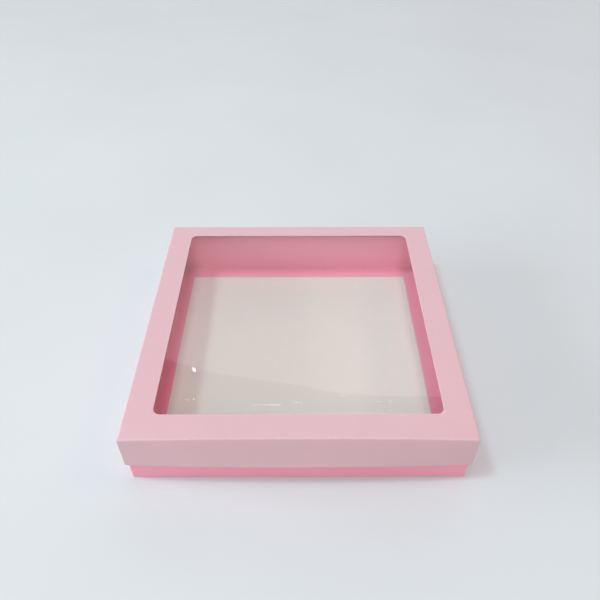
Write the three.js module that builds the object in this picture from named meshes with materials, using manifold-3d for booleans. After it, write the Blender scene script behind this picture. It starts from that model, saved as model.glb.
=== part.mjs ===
// A square gift box of folded board: a tray with double walls, and a lift-off lid with a film window.
// Units are millimetres and +Z is up. The front faces -Y. The origin is the middle of the tray's underside.

import * as THREE from "three";
import { mergeVertices } from "three/addons/utils/BufferGeometryUtils.js";
import Module from "manifold-3d";

const wasm = await Module();
wasm.setup();

// Sheet materials
const board = 0.45;
const filmThickness = 0.2;
const tapeThickness = 0.1;

// Lid, measured outside
const lidWidth = 200;
const lidDepth = 200;
const lidDrop = 25;

// Window in the lid's top, set out from the lid's outer edges
const windowSideMargin = 16.4;
const windowFrontMargin = 17.6;
const windowBackMargin = 12;
const windowCornerRadius = 4.5;

// Film behind the window, and the tape that holds it
const filmLap = 7;
const tapeSetback = 1;

// Tray
const baseHeight = 40.5;
const flangeWidth = 11;

// Folds
const creaseRadius = 0.9;
const footRadius = 0.6;
const tabLength = 20;
const tabTaper = 4;
const tabSetback = 1.5;
const hemSetback = 0.5;

// Clearances: between folded layers, at creases and mitres, where glued, and between lid and tray
const layerGap = 0.1;
const creaseGap = 0.05;
const mitreGap = 0.3;
const glueGap = 0.05;
const cornerGap = 0.3;
const lidClearance = 0.4;
const seatGap = 0.2;

// The lid's front has relaxed: its lower edge bows out, and its top edge stands a little proud.
const frontBow = 3;
const frontCrown = 1.5;
const bulgePower = 2.5;

// Fineness
const bendSegments = 3;
const cornerSegments = 8;
const bulgeStations = 24;
const bulgeRows = 4;
const tabStations = 4;

// Reach of a cutting block past what it cuts
const cutReach = 5;

// The side walls are two layers thick. The front and back walls hold a corner tab between two layers.
const sideWall = 2 * board + layerGap;
const tabbedWall = 3 * board + 2 * layerGap;

// The tray fits inside the lid's walls.
const baseWidth = lidWidth - 2 * (sideWall + lidClearance);
const baseDepth = lidDepth - 2 * (tabbedWall + lidClearance);

// Heights
const lidTop = baseHeight + seatGap + board;
const lidUnderside = lidTop - board;
const lidRim = lidTop - lidDrop;
const tapeTop = lidUnderside - glueGap;
const filmTop = tapeTop - tapeThickness - glueGap;
const flangeBottom = board + layerGap;

// Window and film outlines
const windowHalfWidth = lidWidth / 2 - windowSideMargin;
const windowFront = -lidDepth / 2 + windowFrontMargin;
const windowBack = lidDepth / 2 - windowBackMargin;
const filmHalfWidth = windowHalfWidth + filmLap;
const filmFront = windowFront - filmLap;
const filmBack = windowBack + filmLap;
const tapeWidth = filmLap - 2 * tapeSetback;

// Where a wall's outer panel stops, so that it slips behind the panel that crosses its end
const panelInset = board + layerGap;

// Half way between an outer panel and the layer behind it, where the ends of the inner layers are cut
const innerCut = board + layerGap / 2;

// At the ends of the front and back walls the inner layers stop clear of the side wall's crease.
const endRelief = Math.max(creaseRadius, panelInset) + cornerGap;

const QUARTER = Math.PI / 2;

const finish = {
  lidPrint: { color: 0xe5b9c4, roughness: 0.46, metalness: 0 },
  trayPrint: { color: 0xf8a1bb, roughness: 0.46, metalness: 0 },
  boardInside: { color: 0xeaeae2, roughness: 0.78, metalness: 0 },
  film: { color: 0xf2f4f4, roughness: 0.06, metalness: 0, transparent: true, opacity: 0.22 },
  tape: { color: 0xece7dc, roughness: 0.5, metalness: 0, transparent: true, opacity: 0.6 },
};

// A closed solid from a geometry, for cutting
function solidFrom(geometry) {
  const bare = geometry.clone();
  bare.deleteAttribute("normal");
  bare.deleteAttribute("uv");
  const merged = mergeVertices(bare);
  const vertProperties = new Float32Array(merged.attributes.position.array);
  const triVerts = new Uint32Array(merged.index.array);
  return new wasm.Manifold(new wasm.Mesh({ numProp: 3, vertProperties, triVerts }));
}

// A geometry from a solid that has been cut
function geometryFrom(solid) {
  const cut = solid.getMesh();
  const geometry = new THREE.BufferGeometry();
  geometry.setAttribute("position", new THREE.BufferAttribute(cut.vertProperties, 3));
  geometry.setIndex(new THREE.BufferAttribute(cut.triVerts, 1));
  geometry.computeVertexNormals();
  return geometry;
}

// The geometry with every cutter taken away from it
function cutAway(geometry, cutters) {
  let solid = solidFrom(geometry);
  for (const cutter of cutters) {
    solid = solid.subtract(solidFrom(cutter));
  }
  return geometryFrom(solid);
}

// A plain block between two corners
function block(low, high, segments = [1, 1, 1]) {
  const size = high.map((value, axis) => value - low[axis]);
  const middle = high.map((value, axis) => (value + low[axis]) / 2);
  const geometry = new THREE.BoxGeometry(...size, ...segments);
  geometry.translate(...middle);
  return geometry;
}

// Draws a straight run to a point, in equal parts
function runTo(section, u, v, parts) {
  const from = section.currentPoint.clone();
  const to = new THREE.Vector2(u, v);
  for (let i = 1; i <= parts; i += 1) {
    const point = from.clone().lerp(to, i / parts);
    section.lineTo(point.x, point.y);
  }
}

// The section of a folded strip of board, from its centreline: a start, round bends and an end.
// The start and the end are each a point and a direction. Each bend has a centre, a radius and two angles.
function stripSection(start, bends, end, parts) {
  const half = board / 2;
  const section = new THREE.Shape();
  const beside = (point, side) => [point.u - side * half * point.dv, point.v + side * half * point.du];
  const bendRound = (bend, side, from, to, clockwise) => {
    const outward = bend.clockwise ? side : -side;
    const radius = bend.radius + outward * half;
    runTo(section, bend.u + radius * Math.cos(from), bend.v + radius * Math.sin(from), parts);
    section.absarc(bend.u, bend.v, radius, from, to, clockwise);
  };
  section.moveTo(...beside(start, 1));
  for (const bend of bends) {
    bendRound(bend, 1, bend.from, bend.to, bend.clockwise);
  }
  runTo(section, ...beside(end, 1), parts);
  section.lineTo(...beside(end, -1));
  for (const bend of [...bends].reverse()) {
    bendRound(bend, -1, bend.to, bend.from, !bend.clockwise);
  }
  section.lineTo(...beside(start, -1));
  section.closePath();
  return section;
}

// The tray's wall in section: up from the floor, over the rim, down inside and out along the floor
function trayWallSection(wall) {
  const half = board / 2;
  const foldRadius = (wall - board) / 2;
  const flangeMiddle = flangeBottom + half;
  const inner = wall - half;
  const crease = {
    u: creaseRadius,
    v: creaseRadius,
    radius: creaseRadius - half,
    from: -QUARTER,
    to: -2 * QUARTER,
    clockwise: true,
  };
  const rim = {
    u: wall / 2,
    v: baseHeight - wall / 2,
    radius: foldRadius,
    from: 2 * QUARTER,
    to: 0,
    clockwise: true,
  };
  const foot = {
    u: inner + footRadius,
    v: flangeMiddle + footRadius,
    radius: footRadius,
    from: 2 * QUARTER,
    to: 3 * QUARTER,
    clockwise: false,
  };
  const start = { u: creaseRadius, v: half, du: -1, dv: 0 };
  const end = { u: inner + footRadius, v: flangeMiddle, du: 1, dv: 0 };
  return stripSection(start, [crease, rim, foot], end, 1);
}

// The lid's wall in section: down from the top, round the hem and up inside
function lidWallSection(wall, parts) {
  const half = board / 2;
  const crease = {
    u: creaseRadius,
    v: lidTop - creaseRadius,
    radius: creaseRadius - half,
    from: QUARTER,
    to: 2 * QUARTER,
    clockwise: false,
  };
  const hem = {
    u: wall / 2,
    v: lidRim + wall / 2,
    radius: (wall - board) / 2,
    from: 2 * QUARTER,
    to: 4 * QUARTER,
    clockwise: false,
  };
  const start = { u: creaseRadius, v: lidTop - half, du: -1, dv: 0 };
  const end = { u: wall - half, v: lidUnderside - hemSetback, du: 0, dv: 1 };
  return stripSection(start, [crease, hem], end, parts);
}

// A wall along the front: its section drawn inwards from the outer face, run from side to side
function frontWall(section, length, outerFace, steps = 1) {
  const geometry = new THREE.ExtrudeGeometry(section, {
    depth: length,
    steps,
    curveSegments: bendSegments,
    bevelEnabled: false,
  });
  const inwards = new THREE.Vector3(0, 1, 0);
  const upwards = new THREE.Vector3(0, 0, 1);
  const along = new THREE.Vector3(1, 0, 0);
  geometry.applyMatrix4(new THREE.Matrix4().makeBasis(inwards, upwards, along));
  geometry.translate(-length / 2, -outerFace, 0);
  return geometry;
}

// Blocks that shorten what lies inwards of a depth, at both ends of a front wall, between two heights
function endCutters(halfLength, innerHalfLength, depth, outerFace, low, high) {
  const reach = tabbedWall + footRadius + cutReach;
  const right = block(
    [innerHalfLength, -outerFace + depth, low],
    [halfLength + cutReach, -outerFace + reach, high],
  );
  const left = right.clone().rotateZ(2 * QUARTER);
  left.translate(0, 2 * (-outerFace + (depth + reach) / 2), 0);
  return [right, left];
}

// How far the relaxed front has moved across the lid, from 0 at the corners to 1 in the middle
function bulge(x) {
  return 1 - Math.abs((2 * x) / lidWidth) ** bulgePower;
}

// Moves every point of a geometry by what a function gives for it
function movePoints(geometry, offset) {
  const position = geometry.attributes.position;
  const point = new THREE.Vector3();
  for (let i = 0; i < position.count; i += 1) {
    point.fromBufferAttribute(position, i);
    point.add(offset(point));
    position.setXYZ(i, point.x, point.y, point.z);
  }
  return geometry;
}

// Lifts the lid's front towards its front edge, from the window forwards
function crown(geometry) {
  return movePoints(geometry, ({ x, y }) => {
    const ahead = THREE.MathUtils.clamp((windowFront - y) / windowFrontMargin, 0, 1);
    return new THREE.Vector3(0, 0, frontCrown * bulge(x) * ahead);
  });
}

// Bows the lid's front wall outwards, most at its lower edge
function bow(geometry) {
  return movePoints(geometry, ({ x, z }) => {
    const below = THREE.MathUtils.clamp((lidTop - z) / lidDrop, 0, 1);
    return new THREE.Vector3(0, -frontBow * bulge(x) * below, 0);
  });
}

// The four sides, each a turn of the front about +Z
const sides = {
  front: { turn: 0, tabbed: true },
  right: { turn: QUARTER, tabbed: false },
  back: { turn: 2 * QUARTER, tabbed: true },
  left: { turn: 3 * QUARTER, tabbed: false },
};

// The box that the tray and the lid each fold up into: its size across a side's length and its depth
function spanOf(side, width, depth) {
  return side.tabbed ? { length: width, outerFace: depth / 2 } : { length: depth, outerFace: width / 2 };
}

function wallOf(side) {
  return side.tabbed ? tabbedWall : sideWall;
}

// A named sub-part, turned to its side
function part(name, geometry, look, turn = 0) {
  const mesh = new THREE.Mesh(geometry, new THREE.MeshStandardMaterial(look));
  mesh.name = name;
  mesh.rotation.z = turn;
  return mesh;
}

// The tray's floor, inside the creases of its walls
function baseFloor() {
  const inset = creaseRadius + creaseGap;
  const halfWidth = baseWidth / 2 - inset;
  const halfDepth = baseDepth / 2 - inset;
  return block([-halfWidth, -halfDepth, 0], [halfWidth, halfDepth, board]);
}

// One double wall of the tray
function baseWall(side) {
  const wall = wallOf(side);
  const { length, outerFace } = spanOf(side, baseWidth, baseDepth);
  const outerLength = side.tabbed ? length : length - 2 * panelInset;
  const innerEnd = side.tabbed ? length / 2 - endRelief : length / 2 - tabbedWall - layerGap;
  const geometry = frontWall(trayWallSection(wall), outerLength, outerFace);
  const low = -cutReach;
  const cutters = endCutters(length / 2, innerEnd, innerCut, outerFace, low, baseHeight + cutReach);
  if (!side.tabbed) {
    const creaseEnd = length / 2 - creaseRadius - cornerGap;
    const footEnd = length / 2 - tabbedWall - footRadius - cornerGap;
    cutters.push(...endCutters(length / 2, creaseEnd, innerCut, outerFace, low, creaseRadius));
    const footTop = flangeBottom + board + footRadius;
    cutters.push(...endCutters(length / 2, footEnd, innerCut, outerFace, low, footTop));
  }
  return cutAway(geometry, cutters);
}

// The end of an inner wall, which lies on the floor and is mitred to its neighbours
function baseFlange(side) {
  const wall = wallOf(side);
  const crossWall = side.tabbed ? sideWall : tabbedWall;
  const { length, outerFace } = spanOf(side, baseWidth, baseDepth);
  const near = wall - board / 2 + footRadius + creaseGap;
  const far = wall + flangeWidth;
  const halfLengthAt = (depth) => length / 2 - crossWall - (depth - wall) - mitreGap;
  const outline = new THREE.Shape();
  outline.moveTo(-halfLengthAt(near), near - outerFace);
  outline.lineTo(halfLengthAt(near), near - outerFace);
  outline.lineTo(halfLengthAt(far), far - outerFace);
  outline.lineTo(-halfLengthAt(far), far - outerFace);
  outline.closePath();
  const geometry = new THREE.ExtrudeGeometry(outline, { depth: board, bevelEnabled: false });
  geometry.translate(0, 0, flangeBottom);
  return geometry;
}

// A tab folded round a corner and held between two layers of the wall, narrower at its free end
function cornerTab(hand, width, depth, low, high) {
  const crease = width / 2 - board - layerGap;
  const nearFace = -depth / 2 + panelInset;
  const geometry = block(
    [crease - tabLength, nearFace, low],
    [crease, nearFace + board, high],
    [tabStations, 1, bulgeRows],
  );
  const middle = (low + high) / 2;
  movePoints(geometry, ({ x, z }) => {
    const along = (crease - x) / tabLength;
    const aside = (z - middle) / (high - middle);
    return new THREE.Vector3(0, 0, -tabTaper * along * aside);
  });
  if (hand === "left") {
    geometry.rotateZ(2 * QUARTER);
    geometry.translate(0, 2 * nearFace + board, 0);
  }
  return geometry;
}

function baseTab(hand) {
  return cornerTab(hand, baseWidth, baseDepth, board + tabSetback, baseHeight - board - tabSetback);
}

function lidTab(hand) {
  return cornerTab(hand, lidWidth, lidDepth, lidRim + board + tabSetback, lidUnderside - tabSetback);
}

// The die-cut window, as a prism through the lid's top
function windowCutter() {
  const left = -windowHalfWidth;
  const right = windowHalfWidth;
  const r = windowCornerRadius;
  const outline = new THREE.Shape();
  outline.moveTo(left + r, windowFront);
  outline.absarc(right - r, windowFront + r, r, -QUARTER, 0, false);
  outline.absarc(right - r, windowBack - r, r, 0, QUARTER, false);
  outline.absarc(left + r, windowBack - r, r, QUARTER, 2 * QUARTER, false);
  outline.absarc(left + r, windowFront + r, r, 2 * QUARTER, 3 * QUARTER, false);
  outline.closePath();
  const geometry = new THREE.ExtrudeGeometry(outline, {
    depth: board + 2 * cutReach,
    curveSegments: cornerSegments,
    bevelEnabled: false,
  });
  geometry.translate(0, 0, lidUnderside - cutReach);
  return geometry;
}

// A flat sheet whose middle row of points lies along the window's front edge, where the crown begins
function sheetWithFold(low, high) {
  const geometry = block(low, high, [bulgeStations, 2, 1]);
  const middle = (low[1] + high[1]) / 2;
  const nearMiddle = (high[1] - low[1]) / 4;
  return movePoints(geometry, ({ y }) => {
    const onMiddleRow = Math.abs(y - middle) < nearMiddle;
    return new THREE.Vector3(0, onMiddleRow ? windowFront - middle : 0, 0);
  });
}

// The lid's top, inside the creases of its walls, with the window cut out
function lidTopPanel() {
  const inset = creaseRadius + creaseGap;
  const halfWidth = lidWidth / 2 - inset;
  const halfDepth = lidDepth / 2 - inset;
  const sheet = sheetWithFold([-halfWidth, -halfDepth, lidUnderside], [halfWidth, halfDepth, lidTop]);
  return cutAway(crown(sheet), [windowCutter()]);
}

// One double wall of the lid
function lidWall(side, isFront) {
  const wall = wallOf(side);
  const { length, outerFace } = spanOf(side, lidWidth, lidDepth);
  const outerLength = side.tabbed ? length : length - 2 * panelInset;
  const innerEnd = side.tabbed ? length / 2 - endRelief : length / 2 - tabbedWall - layerGap;
  const rows = isFront ? bulgeRows : 1;
  const stations = isFront ? bulgeStations : 1;
  const geometry = frontWall(lidWallSection(wall, rows), outerLength, outerFace, stations);
  if (isFront) {
    bow(crown(geometry));
  }
  const low = lidRim - cutReach;
  const high = lidTop + cutReach;
  const cutters = endCutters(length / 2, innerEnd, innerCut, outerFace, low, high);
  if (!side.tabbed) {
    const creaseEnd = length / 2 - creaseRadius - cornerGap;
    cutters.push(...endCutters(length / 2, creaseEnd, innerCut, outerFace, lidTop - creaseRadius, high));
  }
  return cutAway(geometry, cutters);
}

// The clear film behind the window
function windowFilm() {
  const low = [-filmHalfWidth, filmFront, filmTop - filmThickness];
  const high = [filmHalfWidth, filmBack, filmTop];
  return crown(sheetWithFold(low, high));
}

// Strips of double-sided tape between the film and the lid's top
function filmTapes() {
  const left = -filmHalfWidth + tapeSetback;
  const front = filmFront + tapeSetback;
  const back = filmBack - tapeSetback;
  const bottom = tapeTop - tapeThickness;
  const sideFront = front + tapeWidth + mitreGap;
  const sideBack = back - tapeWidth - mitreGap;
  const across = [bulgeStations, 1, 1];
  return {
    front: crown(block([left, front, bottom], [-left, front + tapeWidth, tapeTop], across)),
    back: block([left, back - tapeWidth, bottom], [-left, back, tapeTop]),
    left: sheetWithFold([left, sideFront, bottom], [left + tapeWidth, sideBack, tapeTop]),
    right: sheetWithFold([-left - tapeWidth, sideFront, bottom], [-left, sideBack, tapeTop]),
  };
}

const box = new THREE.Group();
const tray = new THREE.Group();
const lid = new THREE.Group();
box.add(tray, lid);

tray.add(part("base_floor_panel", baseFloor(), finish.boardInside));
lid.add(part("lid_window_panel", lidTopPanel(), finish.lidPrint));

for (const [name, side] of Object.entries(sides)) {
  tray.add(part(`base_${name}_wall`, baseWall(side), finish.trayPrint, side.turn));
  tray.add(part(`base_${name}_flange`, baseFlange(side), finish.trayPrint, side.turn));
  lid.add(part(`lid_${name}_wall`, lidWall(side, name === "front"), finish.lidPrint, side.turn));
}

// Seen from the front, the tab at the turned back wall's right end is at the left.
const tabHands = {
  front: { left: "left", right: "right" },
  back: { left: "right", right: "left" },
};

for (const [name, hands] of Object.entries(tabHands)) {
  for (const [corner, hand] of Object.entries(hands)) {
    const lidGeometry = name === "front" ? bow(crown(lidTab(hand))) : lidTab(hand);
    tray.add(part(`base_tab_${name}_${corner}`, baseTab(hand), finish.trayPrint, sides[name].turn));
    lid.add(part(`lid_tab_${name}_${corner}`, lidGeometry, finish.lidPrint, sides[name].turn));
  }
}

lid.add(part("window_film", windowFilm(), finish.film));

for (const [name, geometry] of Object.entries(filmTapes())) {
  lid.add(part(`film_tape_${name}`, geometry, finish.tape));
}

export default box;
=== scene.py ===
# A square gift box of folded board with a film window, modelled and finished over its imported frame.
# Lengths are metres and +Z is up. The front faces -Y.

import math

import bmesh
import bpy
from mathutils import Matrix, Vector, noise


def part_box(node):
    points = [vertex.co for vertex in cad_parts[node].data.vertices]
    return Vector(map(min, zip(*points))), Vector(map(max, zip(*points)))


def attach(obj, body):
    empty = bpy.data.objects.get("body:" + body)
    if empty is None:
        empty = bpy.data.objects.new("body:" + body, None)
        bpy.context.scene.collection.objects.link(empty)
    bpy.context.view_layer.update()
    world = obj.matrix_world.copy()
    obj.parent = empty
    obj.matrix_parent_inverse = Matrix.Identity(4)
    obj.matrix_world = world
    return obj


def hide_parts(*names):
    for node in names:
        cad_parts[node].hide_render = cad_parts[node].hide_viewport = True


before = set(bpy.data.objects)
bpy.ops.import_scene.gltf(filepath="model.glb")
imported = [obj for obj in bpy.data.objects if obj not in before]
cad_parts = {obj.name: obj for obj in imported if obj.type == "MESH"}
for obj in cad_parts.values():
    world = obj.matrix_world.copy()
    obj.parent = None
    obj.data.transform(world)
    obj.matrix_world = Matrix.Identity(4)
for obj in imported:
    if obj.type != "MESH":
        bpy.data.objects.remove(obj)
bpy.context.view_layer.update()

bl_info = {
    "name": "Windowed Gift Box",
    "version": (1, 0, 0),
    "blender": (4, 5, 0),
    "location": "View3D > Sidebar > Gift Box",
    "description": "Models and finishes a gift box of folded board with a film window",
    "category": "Add Mesh",
}

X, Y, Z = range(3)
QUARTER = math.pi / 2


def extent(node, axis):
    """How far a node of the frame reaches along an axis"""
    low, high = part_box(node)
    return high[axis] - low[axis]


# What the frame gives: the board, the walls' thickness, and the outsides of the lid and the tray
BOARD = extent("base_floor_panel", Z)
SIDE_WALL = extent("lid_left_wall", X)
TABBED_WALL = extent("lid_back_wall", Y)
LAYER_GAP = SIDE_WALL - 2 * BOARD
LID_HALF_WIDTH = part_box("lid_right_wall")[1].x
LID_HALF_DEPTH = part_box("lid_back_wall")[1].y
LID_RIM, LID_TOP = (corner.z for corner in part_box("lid_back_wall"))
LID_UNDERSIDE = LID_TOP - BOARD
LID_DROP = LID_TOP - LID_RIM
TRAY_HALF_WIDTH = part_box("base_right_wall")[1].x
TRAY_HALF_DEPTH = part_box("base_back_wall")[1].y
TRAY_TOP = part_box("base_back_wall")[1].z
FLANGE_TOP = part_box("base_back_flange")[1].z
FLANGE_EDGE = TRAY_HALF_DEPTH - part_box("base_back_flange")[0].y
FILM_LOW, FILM_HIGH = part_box("window_film")
TAPE_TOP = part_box("film_tape_back")[1].z
TAPE_THICKNESS = extent("film_tape_back", Z)
TAPE_WIDTH = extent("film_tape_back", Y)

# Where an outer panel stops behind the panel that crosses its end
PANEL_INSET = BOARD + LAYER_GAP

# Fineness of the meshes
BEND_STEPS = 10
CREASE_STEPS = 6
WALL_ROWS = 6
STATIONS = 48
CORNER_STEPS = 10
FLANGE_ROWS = 4
TAB_CELLS = 6
FLOOR_CELLS = 20
TOP_CELLS = 40
FILM_CELLS = 64
TAPE_CELLS = 40
TAPE_ROWS = 2
SHARP_ANGLE = math.radians(35)

# How far apart the waves of each surface are, and what makes them differ from one another
WALL_WAVE = 0.055
TOP_WAVE = 0.06
FILM_BROAD_WAVE = 0.060
FILM_TIGHT_WAVE = 0.021
TRAY_SEED = 1.3
LID_SEED = 7.9
TOP_SEED = 3.7
FILM_BROAD_SEED = 11.2
FILM_TIGHT_SEED = 4.4

# How much of the film's broad and tight waves there is, and how much closer the tight ones follow each other
# from front to back
FILM_BROAD_SHARE = 2.0
FILM_TIGHT_SHARE = 0.12
FILM_TIGHT_STRETCH = 1.6


class GIFTBOX_PG_sizes(bpy.types.PropertyGroup):
    """Sizes of the folds, the window and the relaxed front"""

    crease_radius: bpy.props.FloatProperty(
        name="Crease radius", description="Outer radius of the fold between a panel and a wall",
        default=0.0009, min=0.0005, unit="LENGTH", subtype="DISTANCE",
    )
    foot_radius: bpy.props.FloatProperty(
        name="Foot radius", description="Radius inside the fold from an inner wall to its flange",
        default=0.000375, min=0.0001, unit="LENGTH", subtype="DISTANCE",
    )
    hem_setback: bpy.props.FloatProperty(
        name="Hem setback", description="Gap between the end of the lid's inner walls and its top",
        default=0.0005, min=0.0, unit="LENGTH", subtype="DISTANCE",
    )
    corner_gap: bpy.props.FloatProperty(
        name="Corner gap", description="Gap between layers that meet in a corner",
        default=0.0003, min=0.0, unit="LENGTH", subtype="DISTANCE",
    )
    mitre_gap: bpy.props.FloatProperty(
        name="Mitre gap", description="How far the flanges stop short of the corners' diagonals",
        default=0.00006, min=0.0, unit="LENGTH", subtype="DISTANCE",
    )
    tab_length: bpy.props.FloatProperty(
        name="Tab length", description="Length of the glue tabs between the layers of a wall",
        default=0.020, min=0.005, unit="LENGTH", subtype="DISTANCE",
    )
    tab_taper: bpy.props.FloatProperty(
        name="Tab taper", description="How much a glue tab narrows on each edge towards its free end",
        default=0.004, min=0.0, unit="LENGTH", subtype="DISTANCE",
    )
    tab_setback: bpy.props.FloatProperty(
        name="Tab setback", description="Gap between a glue tab's long edges and the folds beside them",
        default=0.0015, min=0.0, unit="LENGTH", subtype="DISTANCE",
    )
    window_corner: bpy.props.FloatProperty(
        name="Window corner", description="Radius of the window's corners",
        default=0.0045, min=0.001, unit="LENGTH", subtype="DISTANCE",
    )
    window_round: bpy.props.FloatProperty(
        name="Window edge round", description="How far the knife has rounded the window's upper edge",
        default=0.00012, min=0.00002, unit="LENGTH", subtype="DISTANCE",
    )
    film_lap: bpy.props.FloatProperty(
        name="Film lap", description="How far the film reaches behind the window's edge",
        default=0.007, min=0.002, unit="LENGTH", subtype="DISTANCE",
    )
    film_thickness: bpy.props.FloatProperty(
        name="Film thickness", description="Thickness of the clear film",
        default=0.0002, min=0.00005, unit="LENGTH", subtype="DISTANCE",
    )
    film_wave: bpy.props.FloatProperty(
        name="Film wave", description="Height of the film's waves inside the window",
        default=0.00012, min=0.0, unit="LENGTH", subtype="DISTANCE",
    )
    panel_sink: bpy.props.FloatProperty(
        name="Panel sink", description="How far the panels sink between their folds at most",
        default=0.00018, min=0.0, unit="LENGTH", subtype="DISTANCE",
    )
    front_bow: bpy.props.FloatProperty(
        name="Front bow", description="How far the lid's front wall bows out at its lower edge",
        default=0.003, min=0.0, unit="LENGTH", subtype="DISTANCE",
    )
    front_crown: bpy.props.FloatProperty(
        name="Front crown", description="How far the lid's front edge stands up at its middle",
        default=0.0015, min=0.0, unit="LENGTH", subtype="DISTANCE",
    )
    bulge_power: bpy.props.FloatProperty(
        name="Bulge power", description="How evenly the relaxed front curves from corner to corner",
        default=2.5, min=1.0,
    )


def colour_property(name, description, default):
    return bpy.props.FloatVectorProperty(
        name=name, description=description, subtype="COLOR", size=3, min=0.0, max=1.0, default=default,
    )


class GIFTBOX_PG_colours(bpy.types.PropertyGroup):
    """Colours of the board, the film and the tape"""

    lid_print: colour_property("Lid print", "Printed side of the lid's board", (0.742, 0.499, 0.560))
    tray_print: colour_property("Tray print", "Printed side of the tray's board", (0.975, 0.390, 0.536))
    board_back: colour_property("Board back", "Unprinted side of both boards", (0.800, 0.828, 0.776))
    cut_edge: colour_property("Cut edge", "Raw cut edges of the board", (0.74, 0.66, 0.62))
    # The fold colour is partly cracked print and partly a painted highlight along the folds.
    fold_wear_and_highlight: colour_property("Fold worn and highlit", "Print stretched pale along a fold", (0.92, 0.74, 0.78))
    film_sheen: colour_property("Film sheen", "Tint of what the clear film mirrors", (0.97, 0.98, 1.0))
    tape: colour_property("Tape", "Double-sided tape behind the window's edge", (0.85, 0.82, 0.74))
    table: colour_property("Table", "Surface that the box stands on", (0.680, 0.757, 0.791))


def power_property(name, description, default):
    return bpy.props.FloatProperty(
        name=name, description=description, default=default, min=0.0, unit="POWER",
    )


class GIFTBOX_PG_stage(bpy.types.PropertyGroup):
    """Lights of the stage"""

    key_power: power_property("Key light", "Far light high at the left, with crisp shadows", 161.0)
    top_power: power_property("Top light", "Narrow soft light overhead", 8.5)
    left_power: power_property("Left light", "Wide soft light low at the left", 23.2)
    right_power: power_property("Right light", "Soft light high at the right", 15.0)
    front_power: power_property("Front light", "Soft light above and behind the camera", 8.2)
    low_power: power_property("Low light", "Faint light low in front, as from a warm room", 1.2)
    back_power: power_property("Back panel", "Bright panel that the film and the folds mirror", 15.0)
    far_power: power_property("Far lamps", "Power of a square metre of the brightest far lamp", 30.0)
    surround: bpy.props.FloatProperty(
        name="Surround", description="Even light from all around", default=0.24, min=0.0,
    )


def sizes():
    return bpy.context.scene.giftbox_sizes


def colours():
    return bpy.context.scene.giftbox_colours


# The four sides: how each is turned from the front, and whether its wall holds glue tabs between two layers
SIDES = {
    "front": (0, True),
    "right": (QUARTER, False),
    "back": (2 * QUARTER, True),
    "left": (3 * QUARTER, False),
}


def wall_thickness(tabbed):
    return TABBED_WALL if tabbed else SIDE_WALL


def span(tabbed, half_width, half_depth):
    """Half a side's length, and how far its outer face stands from the middle of the box"""
    return (half_width, half_depth) if tabbed else (half_depth, half_width)


def clamp(value):
    return max(0.0, min(1.0, value))


def swell(low, high, value):
    """0 at both ends of a range and 1 in its middle, rising steeply from the ends"""
    share = clamp((value - low) / (high - low))
    return 1 - (2 * share - 1) ** 4


def waves(place, length, seed):
    """Smooth waves from 0 to 1 over a surface, about a given length apart"""
    return 0.5 + 0.5 * noise.noise(Vector(place) / length + Vector((seed, seed, seed)))


def bulge(x):
    return 1 - abs(x / LID_HALF_WIDTH) ** sizes().bulge_power


def window_edges():
    """Left, front, right and back edges of the window"""
    lap = sizes().film_lap
    return FILM_LOW.x + lap, FILM_LOW.y + lap, FILM_HIGH.x - lap, FILM_HIGH.y - lap


def crowned(co):
    """A point of the lid's front, lifted towards its front edge"""
    front = window_edges()[1]
    ahead = clamp((front - co.y) / (front + LID_HALF_DEPTH))
    return co + Vector((0, 0, sizes().front_crown * bulge(co.x) * ahead))


def bowed(co):
    """A point of the lid's front wall, bowed outwards most at its lower edge"""
    below = clamp((LID_TOP - co.z) / LID_DROP)
    return co - Vector((0, sizes().front_bow * bulge(co.x) * below, 0))


def relaxed_front(co):
    return bowed(crowned(co))


def sunk_wall(co, low, high, half_length, seed):
    """A point of a wall drawn along the front, sunk inwards between its folds"""
    rise = swell(low, high, co.z) * swell(-half_length, half_length, co.x)
    depth = sizes().panel_sink * rise * waves((co.x, 0, co.z), WALL_WAVE, seed)
    return co + Vector((0, depth, 0))


def sunk_top(co):
    """A point of the lid's top, or of what is stuck to it, sunk between the lid's folds"""
    across = swell(-LID_HALF_WIDTH, LID_HALF_WIDTH, co.x)
    along = swell(-LID_HALF_DEPTH, LID_HALF_DEPTH, co.y)
    depth = sizes().panel_sink * across * along * waves((co.x, co.y, 0), TOP_WAVE, TOP_SEED)
    return co - Vector((0, 0, depth))


def move_points(bm, rule):
    for vert in bm.verts:
        vert.co = rule(vert.co)


def new_bmesh():
    """A bmesh whose points know where a strip ends beside them and how near a fold they are"""
    bm = bmesh.new()
    bm.verts.layers.float.new("end")
    bm.verts.layers.float.new("fold")
    return bm


def mark(bm, vert, end, fold):
    vert[bm.verts.layers.float["end"]] = end
    vert[bm.verts.layers.float["fold"]] = fold


def begin(bm, u, v, end):
    """Starts a section at a depth u behind the outer face and a height v"""
    vert = bm.verts.new((0, u, v))
    mark(bm, vert, end, 0.5)
    return vert


def straight(bm, vert, u, v, end, rows=1):
    """Draws a section on in a straight run"""
    end_layer = bm.verts.layers.float["end"]
    start, start_end = vert.co.copy(), vert[end_layer]
    for row in range(1, rows + 1):
        vert = bmesh.ops.extrude_vert_indiv(bm, verts=[vert])["verts"][0]
        vert.co = start.lerp(Vector((0, u, v)), row / rows)
        mark(bm, vert, start_end + (end - start_end) * row / rows, 0.0)
    return vert


def bend(bm, vert, u, v, angle, end_rule, steps):
    """Draws a section on round a fold about a centre, with a rule for where the strip ends"""
    before = set(bm.verts)
    turned = bmesh.ops.spin(
        bm, geom=[vert], cent=(0, u, v), axis=(1, 0, 0), dvec=(0, 0, 0), angle=angle, steps=steps,
        use_merge=False, use_duplicate=False,
    )
    for point in set(bm.verts) - before:
        mark(bm, point, end_rule(point.co), 1.0)
    last = next(item for item in turned["geom_last"] if isinstance(item, bmesh.types.BMVert))
    last[bm.verts.layers.float["fold"]] = 0.3
    vert[bm.verts.layers.float["fold"]] = 0.3
    return last


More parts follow.
